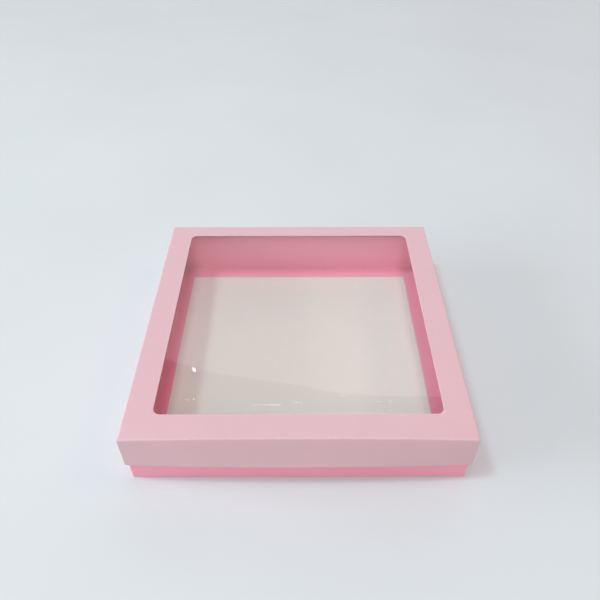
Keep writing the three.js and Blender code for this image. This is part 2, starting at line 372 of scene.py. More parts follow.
def face_towards(bm, direction):
    """Turns a sheet over if its widest face looks the other way"""
    bm.normal_update()
    widest = max(bm.faces, key=lambda face: face.calc_area())
    if widest.normal.dot(Vector(direction)) < 0:
        bmesh.ops.reverse_faces(bm, faces=bm.faces[:])
        bm.normal_update()


def pull_strip(bm, stations, facing=(0, -1, 0)):
    """Pulls the section out sideways into a strip from end to end"""
    end = bm.verts.layers.float["end"]
    for vert in bm.verts:
        vert.co.x = -vert[end]
    row = list(bm.edges)
    for station in range(1, stations + 1):
        share = 2 * station / stations - 1
        made = bmesh.ops.extrude_edge_only(bm, edges=row)["geom"]
        fresh = {item for item in made if isinstance(item, bmesh.types.BMVert)}
        for vert in fresh:
            vert.co.x = share * vert[end]
        row = [
            item for item in made
            if isinstance(item, bmesh.types.BMEdge) and fresh.issuperset(item.verts)
        ]
    face_towards(bm, facing)


def cut_rows(bm, axis, low, high, count):
    """Cuts a sheet across an axis into equal rows, so that it can bend"""
    normal = Vector((0, 0, 0))
    normal[axis] = 1
    for row in range(1, count):
        place = Vector((0, 0, 0))
        place[axis] = low + (high - low) * row / count
        everything = bm.verts[:] + bm.edges[:] + bm.faces[:]
        bmesh.ops.bisect_plane(bm, geom=everything, dist=1e-7, plane_co=place, plane_no=normal)


PRINTED, UNPRINTED, CUT = range(3)


def thicken(bm, thickness):
    """Gives a sheet its thickness behind its face, and its three kinds of surface their materials"""
    front = set(bm.faces)
    made = bmesh.ops.solidify(bm, geom=bm.faces[:], thickness=thickness)["geom"]
    back = {item for item in made if isinstance(item, bmesh.types.BMFace)}
    for face in bm.faces:
        face.material_index = PRINTED if face in front else UNPRINTED if face in back else CUT


def rectangle(bm, left, front, right, back, height):
    """One flat face between four edges"""
    made = bmesh.ops.create_grid(bm, x_segments=1, y_segments=1, size=1)["verts"]
    place = Matrix.Translation(((left + right) / 2, (front + back) / 2, height))
    size = Matrix.Diagonal(((right - left) / 2, (back - front) / 2, 1, 1))
    bmesh.ops.transform(bm, matrix=place @ size, verts=made)
    return made


def finish_piece(bm, name, materials, body, nodes, turn=0.0):
    """Turns a bmesh to its side and makes it a piece that stands for nodes of the frame"""
    bmesh.ops.transform(bm, matrix=Matrix.Rotation(turn, 4, "Z"), verts=bm.verts[:])
    bm.verts.layers.float.remove(bm.verts.layers.float["end"])
    bm.normal_update()
    for face in bm.faces:
        face.smooth = True
    for edge in bm.edges:
        edge.smooth = edge.calc_face_angle(0.0) < SHARP_ANGLE
    mesh = bpy.data.meshes.new(name)
    bm.to_mesh(mesh)
    bm.free()
    for material in materials:
        mesh.materials.append(material)
    piece = bpy.data.objects.new(name, mesh)
    bpy.context.scene.collection.objects.link(piece)
    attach(piece, body)
    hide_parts(*nodes)
    return piece


class Tree:
    """Adds nodes to a node tree and joins them"""

    def __init__(self, nodes, links):
        self.nodes = nodes
        self.links = links

    def add(self, kind, settings=None, **inputs):
        node = self.nodes.new(kind)
        for key, value in (settings or {}).items():
            setattr(node, key, value)
        for key, value in inputs.items():
            self.feed(node, key.replace("_", " "), value)
        return node

    def feed(self, node, key, value):
        socket = node.inputs[int(key)] if key.isdigit() else node.inputs[key]
        if isinstance(value, bpy.types.NodeSocket):
            self.links.new(value, socket)
        else:
            socket.default_value = value

    def maths(self, operation, first, second=0.5):
        node = self.nodes.new("ShaderNodeMath")
        node.operation = operation
        self.feed(node, "0", first)
        self.feed(node, "1", second)
        return node.outputs[0]

    def mixed(self, share, first, second):
        node = self.nodes.new("ShaderNodeMix")
        node.data_type = "RGBA"
        self.feed(node, "0", share)
        self.feed(node, "6", first)
        self.feed(node, "7", second)
        return node.outputs[2]

    def mapped(self, value, low, high, start=0.0, stop=1.0):
        node = self.add("ShaderNodeMapRange", Value=value)
        self.feed(node, "1", low)
        self.feed(node, "2", high)
        self.feed(node, "3", start)
        self.feed(node, "4", stop)
        return node.outputs[0]

    def noise(self, place, scale, detail=2.0, roughness=0.5, distortion=0.0):
        node = self.add(
            "ShaderNodeTexNoise", Vector=place, Scale=scale, Detail=detail, Roughness=roughness,
            Distortion=distortion,
        )
        return node.outputs["Fac"]


def group_tree(name, inputs, outputs):
    """An empty shader node group with named sockets"""
    group = bpy.data.node_groups.new(name, "ShaderNodeTree")
    for socket, kind, default in inputs:
        made = group.interface.new_socket(socket, in_out="INPUT", socket_type=kind)
        made.default_value = default
    for socket, kind in outputs:
        group.interface.new_socket(socket, in_out="OUTPUT", socket_type=kind)
    tree = Tree(group.nodes, group.links)
    return group, tree, tree.add("NodeGroupInput").outputs, tree.add("NodeGroupOutput")


def paper_grain_group():
    """Fine fibres of paper: a height for bump and a tone from 0 to 1"""
    group, tree, given, result = group_tree(
        "Paper grain",
        [("Grain scale", "NodeSocketFloat", 2600.0), ("Fibre scale", "NodeSocketFloat", 900.0)],
        [("Height", "NodeSocketFloat"), ("Tone", "NodeSocketFloat")],
    )
    place = tree.add("ShaderNodeTexCoord").outputs["Object"]
    drawn_out = tree.add("ShaderNodeMapping", Vector=place, Scale=(1.0, 0.28, 1.0)).outputs[0]
    grain = tree.noise(place, given["Grain scale"], 3.0, 0.6)
    fibres = tree.noise(drawn_out, given["Fibre scale"], 4.0, 0.65, 0.6)
    height = tree.maths("ADD", tree.maths("MULTIPLY", grain, 0.55), tree.maths("MULTIPLY", fibres, 0.45))
    tree.feed(result, "Height", height)
    tree.feed(result, "Tone", tree.mapped(height, 0.3, 0.7))
    return group


def print_group():
    """Printed colour: soft cloudiness, fine specks, and paler print along the folds, partly cracked print
    and partly a painted highlight
    """
    group, tree, given, result = group_tree(
        "Printed colour",
        [
            ("Colour", "NodeSocketColor", (0.8, 0.5, 0.6, 1)),
            ("Worn colour", "NodeSocketColor", (0.9, 0.8, 0.8, 1)),
            ("Wear", "NodeSocketFloat", 0.5),
            ("Cloudiness", "NodeSocketFloat", 0.06),
            ("Tone", "NodeSocketFloat", 0.5),
        ],
        [("Colour", "NodeSocketColor"), ("Wear mask", "NodeSocketFloat")],
    )
    place = tree.add("ShaderNodeTexCoord").outputs["Object"]
    clouds = tree.noise(place, 34.0, 3.0, 0.55)
    streaks = tree.noise(place, 210.0, 3.0, 0.6)
    cloudy = tree.maths("ADD", tree.maths("MULTIPLY", clouds, 0.7), tree.maths("MULTIPLY", streaks, 0.3))
    shade = tree.maths("MULTIPLY", tree.mapped(cloudy, 0.3, 0.7, 1.0, 0.0), given["Cloudiness"])
    darker = tree.add(
        "ShaderNodeHueSaturation", Hue=0.5, Saturation=1.06, Value=0.72, Color=given["Colour"]
    ).outputs[0]
    speckle = tree.maths("MULTIPLY", given["Tone"], 0.05)
    printed = tree.mixed(tree.maths("ADD", shade, speckle), given["Colour"], darker)
    # Paler print along the folds and the window's edge: partly cracked print, partly a painted highlight
    fold = tree.add("ShaderNodeAttribute", {"attribute_name": "fold"}).outputs["Fac"]
    broken = tree.mapped(tree.noise(place, 420.0, 4.0, 0.7), 0.35, 0.65, 0.35, 1.0)
    mask = tree.maths("MULTIPLY", tree.maths("MULTIPLY", fold, broken), given["Wear"])
    tree.feed(result, "Colour", tree.mixed(mask, printed, given["Worn colour"]))
    tree.feed(result, "Wear mask", mask)
    return group


def fleck_group():
    """Raw board: cloudy pulp with scattered darker and paler fibres"""
    group, tree, given, result = group_tree(
        "Raw pulp",
        [
            ("Colour", "NodeSocketColor", (0.8, 0.76, 0.7, 1)),
            ("Flecks", "NodeSocketFloat", 0.4),
            ("Tone", "NodeSocketFloat", 0.5),
        ],
        [("Colour", "NodeSocketColor"), ("Fleck mask", "NodeSocketFloat")],
    )
    place = tree.add("ShaderNodeTexCoord").outputs["Object"]
    clouds = tree.mapped(tree.noise(place, 48.0, 4.0, 0.6), 0.3, 0.7, 0.0, 0.10)
    darker = tree.add(
        "ShaderNodeHueSaturation", Hue=0.497, Saturation=1.25, Value=0.80, Color=given["Colour"]
    ).outputs[0]
    paler = tree.add(
        "ShaderNodeHueSaturation", Hue=0.5, Saturation=0.6, Value=1.10, Color=given["Colour"]
    ).outputs[0]
    shade = tree.maths("ADD", clouds, tree.maths("MULTIPLY", given["Tone"], 0.16))
    pulp = tree.mixed(shade, given["Colour"], darker)
    drawn_out = tree.add("ShaderNodeMapping", Vector=place, Scale=(1.0, 0.22, 1.0)).outputs[0]
    flecks = tree.mapped(tree.noise(drawn_out, 1500.0, 2.0, 0.5, 1.2), 0.66, 0.74)
    hairs = tree.mapped(tree.noise(drawn_out, 1100.0, 2.0, 0.5, 1.6), 0.30, 0.24)
    flecked = tree.mixed(tree.maths("MULTIPLY", flecks, given["Flecks"]), pulp, darker)
    haired = tree.mixed(tree.maths("MULTIPLY", hairs, given["Flecks"]), flecked, paler)
    tree.feed(result, "Colour", haired)
    tree.feed(result, "Fleck mask", flecks)
    return group


def shared_group(maker, name):
    return bpy.data.node_groups.get(name) or maker()


def new_material(name):
    """A material with a bare Principled shader, and the tree to build on"""
    material = bpy.data.materials.new(name)
    material.use_nodes = True
    tree = Tree(material.node_tree.nodes, material.node_tree.links)
    return material, tree, material.node_tree.nodes["Principled BSDF"]


def grain_of(tree, grain_scale, fibre_scale):
    node = tree.add("ShaderNodeGroup", {"node_tree": shared_group(paper_grain_group, "Paper grain")})
    tree.feed(node, "Grain scale", grain_scale)
    tree.feed(node, "Fibre scale", fibre_scale)
    return node.outputs["Height"], node.outputs["Tone"]


def bumped(tree, shader, height, strength, distance):
    bump = tree.add("ShaderNodeBump", Strength=strength, Distance=distance, Height=height)
    tree.feed(shader, "Normal", bump.outputs["Normal"])


def opaque(colour):
    return (*colour, 1.0)


def print_material(name, colour, wear_and_highlight):
    """Satin printed board"""
    found = bpy.data.materials.get(name)
    if found:
        return found
    material, tree, shader = new_material(name)
    height, tone = grain_of(tree, 2600.0, 900.0)
    node = tree.add("ShaderNodeGroup", {"node_tree": shared_group(print_group, "Printed colour")})
    tree.feed(node, "Colour", opaque(colour))
    # The fold colour and its share mix paler print along the folds: partly cracked print, partly a painted
    # highlight
    tree.feed(node, "Worn colour", opaque(colours().fold_wear_and_highlight))
    tree.feed(node, "Wear", wear_and_highlight)
    tree.feed(node, "Cloudiness", 0.10)
    tree.feed(node, "Tone", tone)
    tree.feed(shader, "Base Color", node.outputs["Colour"])
    tree.feed(shader, "Specular IOR Level", 0.8)
    rubbed = tree.maths("MULTIPLY", node.outputs["Wear mask"], 0.12)
    tree.feed(shader, "Roughness", tree.maths("ADD", tree.mapped(tone, 0.0, 1.0, 0.40, 0.52), rubbed))
    bumped(tree, shader, height, 0.35, 0.00003)
    return material


def board_back_material():
    """Unprinted side of the board"""
    found = bpy.data.materials.get("Board back")
    if found:
        return found
    material, tree, shader = new_material("Board back")
    height, tone = grain_of(tree, 2100.0, 700.0)
    node = tree.add("ShaderNodeGroup", {"node_tree": shared_group(fleck_group, "Raw pulp")})
    tree.feed(node, "Colour", opaque(colours().board_back))
    tree.feed(node, "Flecks", 0.35)
    tree.feed(node, "Tone", tone)
    tree.feed(shader, "Base Color", node.outputs["Colour"])
    tree.feed(shader, "Roughness", tree.mapped(tone, 0.0, 1.0, 0.70, 0.86))
    bumped(tree, shader, height, 0.5, 0.00004)
    return material


def cut_edge_material():
    """Raw cut edge of the board, with its plies"""
    found = bpy.data.materials.get("Cut edge")
    if found:
        return found
    material, tree, shader = new_material("Cut edge")
    height, tone = grain_of(tree, 5200.0, 2400.0)
    node = tree.add("ShaderNodeGroup", {"node_tree": shared_group(fleck_group, "Raw pulp")})
    tree.feed(node, "Colour", opaque(colours().cut_edge))
    tree.feed(node, "Flecks", 0.7)
    tree.feed(node, "Tone", tone)
    tree.feed(shader, "Base Color", node.outputs["Colour"])
    tree.feed(shader, "Roughness", tree.mapped(tone, 0.0, 1.0, 0.80, 0.95))
    bumped(tree, shader, height, 0.7, 0.00003)
    return material


# How much the film mirrors when it is seen straight on, how much more at a glance, and how fast that rises
MIRROR_LEAST = 0.042
MIRROR_RISE = 0.96
MIRROR_POWER = 4.0


def film_material():
    """Clear film, which mirrors more the flatter it is seen and lets the rest of the light through"""
    found = bpy.data.materials.get("Clear film")
    if found:
        return found
    material, tree, shader = new_material("Clear film")
    shader.inputs["Base Color"].default_value = opaque(colours().film_sheen)
    shader.inputs["Metallic"].default_value = 1.0
    place = tree.add("ShaderNodeTexCoord").outputs["Object"]
    haze = tree.noise(place, 90.0, 3.0, 0.6)
    tree.feed(shader, "Roughness", tree.mapped(haze, 0.3, 0.7, 0.012, 0.026))
    facing = tree.add("ShaderNodeLayerWeight", Blend=0.5).outputs["Facing"]
    slanted = tree.maths("MULTIPLY", tree.maths("POWER", facing, MIRROR_POWER), MIRROR_RISE)
    tree.feed(shader, "Alpha", tree.maths("ADD", slanted, MIRROR_LEAST))
    ripple = tree.noise(place, 22.0, 2.0, 0.45)
    bumped(tree, shader, ripple, 0.3, 0.0001)
    return material


def tape_material():
    """Translucent double-sided tape with small trapped bubbles"""
    found = bpy.data.materials.get("Film tape")
    if found:
        return found
    material, tree, shader = new_material("Film tape")
    place = tree.add("ShaderNodeTexCoord").outputs["Object"]
    bubbles = tree.mapped(tree.noise(place, 700.0, 2.0, 0.5), 0.58, 0.66)
    clouds = tree.noise(place, 120.0, 3.0, 0.6)
    pale = opaque([min(1.0, part * 1.12) for part in colours().tape])
    cloudy = tree.mapped(clouds, 0.35, 0.65)
    tree.feed(shader, "Base Color", tree.mixed(cloudy, opaque(colours().tape), pale))
    tree.feed(shader, "Roughness", tree.mapped(clouds, 0.3, 0.7, 0.30, 0.48))
    tree.feed(shader, "Alpha", tree.mapped(bubbles, 0.0, 1.0, 0.62, 0.42))
    bumped(tree, shader, clouds, 0.3, 0.00003)
    return material


def table_material():
    """Smooth pale table"""
    material, tree, shader = new_material("Table")
    place = tree.add("ShaderNodeTexCoord").outputs["Object"]
    clouds = tree.noise(place, 5.0, 3.0, 0.5)
    deeper = opaque([part * 0.97 for part in colours().table])
    cloudy = tree.mapped(clouds, 0.35, 0.65)
    tree.feed(shader, "Base Color", tree.mixed(cloudy, opaque(colours().table), deeper))
    tree.feed(shader, "Roughness", tree.mapped(clouds, 0.3, 0.7, 0.50, 0.58))
    bumped(tree, shader, tree.noise(place, 1400.0, 3.0, 0.6), 0.15, 0.00003)
    return material


def board_materials(printed):
    """The materials of a board, in the order of its three kinds of surface"""
    return [printed, board_back_material(), cut_edge_material()]


def lid_materials():
    # The last number is the share of paler print along the folds, partly a painted highlight.
    return board_materials(print_material("Lid print", colours().lid_print, 0.25))


def tray_materials():
    return board_materials(print_material("Tray print", colours().tray_print, 0.20))


def tray_wall(side):
    """One wall of the tray: up from the floor, over the rim, down inside and round the foot"""
    turn, tabbed = SIDES[side]
    half, face = span(tabbed, TRAY_HALF_WIDTH, TRAY_HALF_DEPTH)
    wall, crease, foot = wall_thickness(tabbed), sizes().crease_radius, sizes().foot_radius
    outer_end = half if tabbed else half - PANEL_INSET
    inner_end = half - crease - sizes().corner_gap if tabbed else half - TABBED_WALL - LAYER_GAP
    foot_end = flange_end(tabbed, foot)
    shoulder = TRAY_TOP - wall / 2

    def crease_rule(co):
        return half - max(co.y, half - outer_end)

    def rim_rule(co):
        return outer_end + (inner_end - outer_end) * clamp(co.y / wall)

    def foot_rule(co):
        return inner_end + (foot_end - inner_end) * clamp((co.y - wall) / foot)

    bm = new_bmesh()
    point = begin(bm, crease, 0, half - crease)
    point = bend(bm, point, crease, crease, -QUARTER, crease_rule, CREASE_STEPS)
    point = straight(bm, point, 0, shoulder, outer_end, WALL_ROWS)
    point = bend(bm, point, wall / 2, shoulder, -2 * QUARTER, rim_rule, BEND_STEPS)
    point = straight(bm, point, wall, FLANGE_TOP + foot, inner_end, WALL_ROWS)
    bend(bm, point, wall + foot, FLANGE_TOP + foot, QUARTER, foot_rule, CREASE_STEPS)
    pull_strip(bm, STATIONS)
    thicken(bm, BOARD)
    seed = turn + TRAY_SEED
    move_points(bm, lambda co: sunk_wall(co, crease, shoulder, half, seed))
    bmesh.ops.translate(bm, vec=(0, -face, 0), verts=bm.verts[:])
    return finish_piece(
        bm, f"tray_wall_{side}", tray_materials(), "tray", [f"base_{side}_wall"], turn
    )


def flange_end(tabbed, beyond_wall):
    """Half the length of a flange at a distance in from its wall's inner face"""
    half = span(tabbed, TRAY_HALF_WIDTH, TRAY_HALF_DEPTH)[0]
    return half - wall_thickness(not tabbed) - beyond_wall - sizes().mitre_gap


def tray_flange(side):
    """The end of an inner wall that lies on the floor, mitred at the corners"""
    turn, tabbed = SIDES[side]
    wall, foot = wall_thickness(tabbed), sizes().foot_radius
    face = span(tabbed, TRAY_HALF_WIDTH, TRAY_HALF_DEPTH)[1]
    width = FLANGE_EDGE - TABBED_WALL
    bm = new_bmesh()
    point = begin(bm, wall + foot, FLANGE_TOP, flange_end(tabbed, foot))
    straight(bm, point, wall + width, FLANGE_TOP, flange_end(tabbed, width), FLANGE_ROWS)
    fold = bm.verts.layers.float["fold"]
    for vert in bm.verts:
        vert[fold] = 0.0
    pull_strip(bm, STATIONS, (0, 0, 1))
    thicken(bm, BOARD)
    bmesh.ops.translate(bm, vec=(0, -face, 0), verts=bm.verts[:])
    return finish_piece(
        bm, f"tray_flange_{side}", tray_materials(), "tray", [f"base_{side}_flange"], turn
    )


def lid_wall(side):
    """One wall of the lid: down from the top, round the hem and up inside"""
    turn, tabbed = SIDES[side]
    half, face = span(tabbed, LID_HALF_WIDTH, LID_HALF_DEPTH)
    wall, crease = wall_thickness(tabbed), sizes().crease_radius
    outer_end = half if tabbed else half - PANEL_INSET
    inner_end = half - crease - sizes().corner_gap if tabbed else half - TABBED_WALL - LAYER_GAP
    knee = LID_RIM + wall / 2

    def crease_rule(co):
        return half - max(co.y, half - outer_end)

    def hem_rule(co):
        return outer_end + (inner_end - outer_end) * clamp(co.y / wall)

    bm = new_bmesh()
    point = begin(bm, crease, LID_TOP, half - crease)
    point = bend(bm, point, crease, LID_TOP - crease, QUARTER, crease_rule, CREASE_STEPS)
    point = straight(bm, point, 0, knee, outer_end, WALL_ROWS)
    point = bend(bm, point, wall / 2, knee, 2 * QUARTER, hem_rule, BEND_STEPS)
    straight(bm, point, wall, LID_UNDERSIDE - sizes().hem_setback, inner_end, WALL_ROWS)
    pull_strip(bm, STATIONS)
    thicken(bm, BOARD)
    seed = turn + LID_SEED
    move_points(bm, lambda co: sunk_wall(co, knee, LID_TOP - crease, half, seed))
    bmesh.ops.translate(bm, vec=(0, -face, 0), verts=bm.verts[:])
    if side == "front":
        move_points(bm, relaxed_front)
    return finish_piece(
        bm, f"lid_wall_{side}", lid_materials(), "lid", [f"lid_{side}_wall"], turn
    )


def glue_tab(side, hand, half_width, half_depth, low, high):
    """A tab between the layers of the front or back wall, narrower at its free end"""
    crease_end = half_width - BOARD - LAYER_GAP
    near_face = -half_depth + PANEL_INSET
    free_end = crease_end - sizes().tab_length
    bm = new_bmesh()
    rectangle(bm, free_end, low, crease_end, high, 0)
    cut_rows(bm, X, free_end, crease_end, TAB_CELLS)
    cut_rows(bm, Y, low, high, TAB_CELLS)
    middle = (low + high) / 2
    for vert in bm.verts:
        along = (crease_end - vert.co.x) / sizes().tab_length
        aside = (vert.co.y - middle) / (high - middle)
        vert.co.y -= sizes().tab_taper * along * aside
    thicken(bm, BOARD)
    upright = Matrix.Translation((0, near_face, 0)) @ Matrix.Rotation(QUARTER, 4, "X")
    bmesh.ops.transform(bm, matrix=upright, verts=bm.verts[:])
    mirrored = (hand == "left") != (side == "back")
    if mirrored:
        bmesh.ops.scale(bm, vec=(-1, 1, 1), verts=bm.verts[:])
        bmesh.ops.recalc_face_normals(bm, faces=bm.faces[:])
    return bm


def tray_tab(side, hand):
    low = BOARD + sizes().tab_setback
    high = TRAY_TOP - BOARD - sizes().tab_setback
    bm = glue_tab(side, hand, TRAY_HALF_WIDTH, TRAY_HALF_DEPTH, low, high)
    return finish_piece(
        bm, f"tray_glue_tab_{side}_{hand}", tray_materials(), "tray",
        [f"base_tab_{side}_{hand}"], SIDES[side][0],
    )


def lid_tab(side, hand):
    low = LID_RIM + BOARD + sizes().tab_setback
    high = LID_UNDERSIDE - sizes().tab_setback
    bm = glue_tab(side, hand, LID_HALF_WIDTH, LID_HALF_DEPTH, low, high)
    if side == "front":
        move_points(bm, relaxed_front)
    return finish_piece(
        bm, f"lid_glue_tab_{side}_{hand}", lid_materials(), "lid",
        [f"lid_tab_{side}_{hand}"], SIDES[side][0],
    )


def tray_floor():
    """The floor between the creases of the tray's walls, its printed side down"""
    inset = sizes().crease_radius
    half_width, half_depth = TRAY_HALF_WIDTH - inset, TRAY_HALF_DEPTH - inset
    bm = new_bmesh()
    rectangle(bm, -half_width, -half_depth, half_width, half_depth, 0)
    cut_rows(bm, X, -half_width, half_width, FLOOR_CELLS)
    cut_rows(bm, Y, -half_depth, half_depth, FLOOR_CELLS)
    face_towards(bm, (0, 0, -1))
    thicken(bm, BOARD)
    return finish_piece(bm, "tray_floor", tray_materials(), "tray", ["base_floor_panel"])


def lid_top():
    """The lid's top between the creases of its walls, with the die-cut window"""
    inset = sizes().crease_radius
    half_width, half_depth = LID_HALF_WIDTH - inset, LID_HALF_DEPTH - inset
    bm = new_bmesh()
    left, front, right, back = window_edges()
    opening = rectangle(bm, left, front, right, back, LID_TOP)
    bmesh.ops.bevel(
        bm, geom=opening, offset=sizes().window_corner, offset_type="OFFSET", segments=CORNER_STEPS,
        profile=0.5, affect="VERTICES", clamp_overlap=False, material=-1,
    )
    rectangle(bm, -half_width, -half_depth, half_width, half_depth, LID_TOP)
    bmesh.ops.delete(bm, geom=bm.faces[:], context="FACES_ONLY")
    bmesh.ops.triangle_fill(bm, use_beauty=True, use_dissolve=False, edges=bm.edges[:])
    cut_rows(bm, X, -half_width, half_width, TOP_CELLS)
    cut_rows(bm, Y, -half_depth, half_depth, TOP_CELLS)
    face_towards(bm, (0, 0, 1))
    thicken(bm, BOARD)
    round_window_edge(bm)
    move_points(bm, lambda co: crowned(sunk_top(co)))
    return finish_piece(bm, "lid_top", lid_materials(), "lid", ["lid_window_panel"])


def round_window_edge(bm):
    """Rounds the upper edge of the window, where the knife has pressed the print over"""
    inside = LID_HALF_WIDTH - 2 * sizes().crease_radius
    edges = []
    for edge in bm.edges:
        kinds = {face.material_index for face in edge.link_faces}
        middle = (edge.verts[0].co + edge.verts[1].co) / 2
        if kinds == {PRINTED, CUT} and abs(middle.x) < inside and abs(middle.y) < inside:
            edges.append(edge)
    rounded = bmesh.ops.bevel(
        bm, geom=edges, offset=sizes().window_round, offset_type="OFFSET", segments=2, profile=0.5,
        affect="EDGES", clamp_overlap=True, material=-1,
    )
    # The rounded faces count as a fold, so they take the paler print, partly a painted highlight along the
    # window's edge
    fold = bm.verts.layers.float["fold"]
    for face in rounded["faces"]:
        face.material_index = PRINTED
        for vert in face.verts:
            vert[fold] = 0.7


def film_waves(co):
    """A point of the film, moved by the waves that it has between its taped edges"""
    left, front, right, back = window_edges()
    free = swell(left, right, co.x) * swell(front, back, co.y)
    broad = waves((co.x, co.y, 0), FILM_BROAD_WAVE, FILM_BROAD_SEED) - 0.5
    tight = waves((co.x, co.y * FILM_TIGHT_STRETCH, 0), FILM_TIGHT_WAVE, FILM_TIGHT_SEED) - 0.5
    rise = FILM_BROAD_SHARE * broad + FILM_TIGHT_SHARE * tight
    return co + Vector((0, 0, sizes().film_wave * free * rise))


def window_film():
    """The clear film behind the window"""
    bm = new_bmesh()
    top = FILM_LOW.z + sizes().film_thickness
    rectangle(bm, FILM_LOW.x, FILM_LOW.y, FILM_HIGH.x, FILM_HIGH.y, top)
    cut_rows(bm, X, FILM_LOW.x, FILM_HIGH.x, FILM_CELLS)
    cut_rows(bm, Y, FILM_LOW.y, FILM_HIGH.y, FILM_CELLS)
    thicken(bm, sizes().film_thickness)
    for face in bm.faces:
        face.material_index = 0
    move_points(bm, lambda co: crowned(sunk_top(film_waves(co))))
    return finish_piece(bm, "film_sheet", [film_material()], "lid", ["window_film"])


def film_tape(side):
    """One strip of tape between the film and the lid's top"""
    node = f"film_tape_{side}"
    low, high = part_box(node)
    bm = new_bmesh()
    rectangle(bm, low.x, low.y, high.x, high.y, TAPE_TOP)
    for axis in (X, Y):
        long = high[axis] - low[axis] > TAPE_WIDTH * 2
        cut_rows(bm, axis, low[axis], high[axis], TAPE_CELLS if long else TAPE_ROWS)
    thicken(bm, TAPE_THICKNESS)
    for face in bm.faces:
        face.material_index = 0
    move_points(bm, lambda co: crowned(sunk_top(co)))
    return finish_piece(bm, f"tape_strip_{side}", [tape_material()], "lid", [node])


# The camera, as it stood for the photograph: its place, its turns and its focal length in pixels
CAMERA_PLACE = Vector((0.001191, -0.281268, 0.313388))
CAMERA_PITCH = math.radians(42.733)
CAMERA_YAW = math.radians(-0.046)
CAMERA_ROLL = math.radians(-0.156)
FOCAL_PIXELS = 580.4
FRAME_PIXELS = 600
SENSOR_MM = 36.0


def add_camera():
    data = bpy.data.cameras.new("Camera")
    data.sensor_width = SENSOR_MM
    data.lens = SENSOR_MM * FOCAL_PIXELS / FRAME_PIXELS
    data.clip_start = 0.01
    camera = bpy.data.objects.new("Camera", data)
    bpy.context.scene.collection.objects.link(camera)
    turned = Matrix.Rotation(-CAMERA_YAW, 4, "Z") @ Matrix.Rotation(QUARTER - CAMERA_PITCH, 4, "X")
    camera.matrix_world = Matrix.Translation(CAMERA_PLACE) @ turned @ Matrix.Rotation(CAMERA_ROLL, 4, "Z")
    bpy.context.scene.camera = camera


def add_light(name, place, aim, size, power, colour, roll=0.0):
    """A soft light of a width and a height, turned to face a point"""
    data = bpy.data.lights.new(name, "AREA")
    data.shape = "RECTANGLE"
    data.size, data.size_y = size
    data.energy = power
    data.color = colour
    light = bpy.data.objects.new(name, data)
    bpy.context.scene.collection.objects.link(light)
    place, aim = Vector(place), Vector(aim)
    facing = (aim - place).to_track_quat("-Z", "Y").to_matrix().to_4x4()
    light.matrix_world = Matrix.Translation(place) @ facing @ Matrix.Rotation(roll, 4, "Z")
    light.visible_camera = False
    return light


NEUTRAL = (1.0, 1.0, 1.0)
COOL = (0.76, 0.98, 1.0)
WARM = (1.0, 0.76, 0.66)
ROSY = (1.0, 0.46, 0.44)
LOW_TINT = (1.0, 0.62, 0.60)
FILL = (1.0, 0.81, 0.82)
BACKDROP = (0.66, 0.70, 0.72)


# The soft lights: where each hangs, its width and its height, its power's setting and its tint
SOFT_LIGHTS = {
    "Key light": ((-3.36, -0.6, 8.0), (1.1, 1.1), "key_power", COOL),
    "Top light": ((0.0, -0.45, 1.8), (0.45, 1.5), "top_power", COOL),
    "Right light": ((2.3, 0.2, 2.6), (0.9, 0.9), "right_power", ROSY),
    "Left light": ((-1.7, -0.3, 0.5), (1.3, 0.7), "left_power", NEUTRAL),
    "Front light": ((0.05, -1.15, 1.65), (0.4, 0.9), "front_power", WARM),
    "Low light": ((0.1, -1.5, 0.35), (1.0, 0.3), "low_power", LOW_TINT),
}

# The upright panel behind the box that the film mirrors: its plane, its middle across and up, and its size
PANEL_Y = 1.5
PANEL_MIDDLE = (0.82, 0.9)
PANEL_SIZE = (4.4, 2.33)

# The small lamps on the panel's plane: how far across and how high each hangs, its width, its height, its
# tilt in degrees and how it compares with the brightest
FAR_LAMPS = (
    (-0.487, 1.840, 0.012, 0.036, 0, 1.0),
    (-0.557, 2.070, 0.022, 0.006, 0, 0.35),
    (-0.521, 2.064, 0.010, 0.005, 0, 0.80),
    (-0.170, 2.120, 0.141, 0.004, 1, 0.60),
    (-0.011, 2.096, 0.060, 0.006, -11, 0.20),
    (0.205, 2.038, 0.024, 0.005, 0, 0.25),
    (0.382, 2.086, 0.020, 0.008, 0, 0.25),
    (0.440, 2.090, 0.022, 0.008, 0, 0.30),
)


# Half the table's width, and how far its surface lies below the box so that the two don't share a plane
TABLE_HALF = 3.0
TABLE_DROP = 0.00005


def surround(strength):
    """Even warm light from all around, behind a pale neutral backdrop"""
    world = bpy.data.worlds.new("Surround")
    world.use_nodes = True
    tree = Tree(world.node_tree.nodes, world.node_tree.links)
    light = tree.nodes["Background"]
    tree.feed(light, "Color", opaque(FILL))
    tree.feed(light, "Strength", strength)
    backdrop = tree.add("ShaderNodeBackground", Color=opaque(BACKDROP), Strength=1.0)
    seen = tree.add("ShaderNodeLightPath").outputs["Is Camera Ray"]
    mix = tree.add("ShaderNodeMixShader")
    tree.feed(mix, "0", seen)
    tree.links.new(light.outputs[0], mix.inputs[1])
    tree.links.new(backdrop.outputs[0], mix.inputs[2])
    tree.links.new(mix.outputs[0], tree.nodes["World Output"].inputs["Surface"])
    return world


